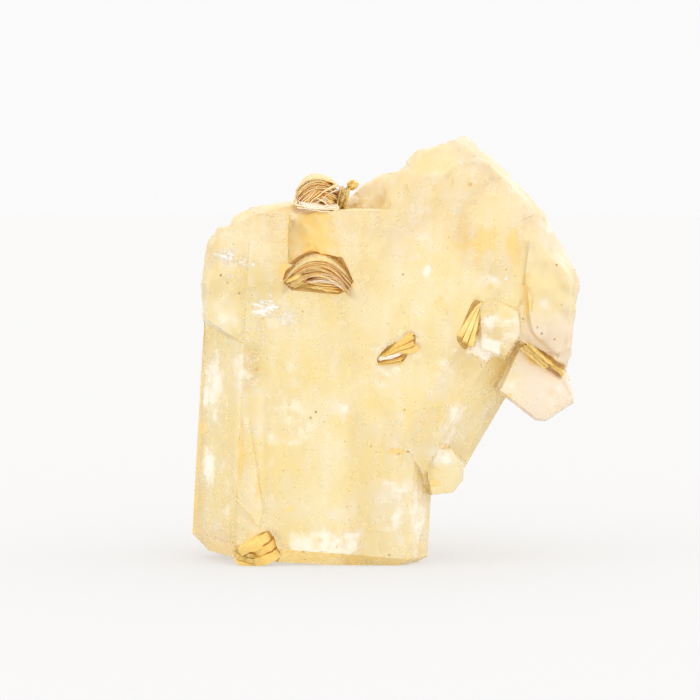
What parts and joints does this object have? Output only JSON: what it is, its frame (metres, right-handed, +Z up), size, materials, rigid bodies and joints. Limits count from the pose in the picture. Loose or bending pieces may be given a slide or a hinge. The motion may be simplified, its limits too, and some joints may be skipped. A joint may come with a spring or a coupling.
{
  "type": "heliodor crystal specimen with mica",
  "caption": "Hand specimen of two intergrown pale yellow beryl prisms with a broken crown, with brown mica books set in pockets; stands on its worn end.",
  "frame": {"origin": "on the ground, under the middle of the specimen's box", "axes": "+Z up as the specimen stands, -Y towards the viewer of its broad front, +X to the side that the upper crystal leans to"},
  "size_m": [0.0308, 0.0158, 0.0335],
  "materials": {
    "heliodor": "pale yellow beryl, part clear and part milky, satin prism faces and hackly broken faces",
    "mica": "golden brown mica in thin leaves, pearly on the leaf faces and dull on the rims"
  },
  "bodies": {
    "root": {"heliodor_crystal": "heliodor", "mica_crown_book": "mica", "mica_crown_stub": "mica", "mica_arch_book": "mica", "mica_centre_flakes": "mica", "mica_seam_plate": "mica", "mica_window_wedge": "mica", "mica_foot": "mica"}
  },
  "joints": []
}
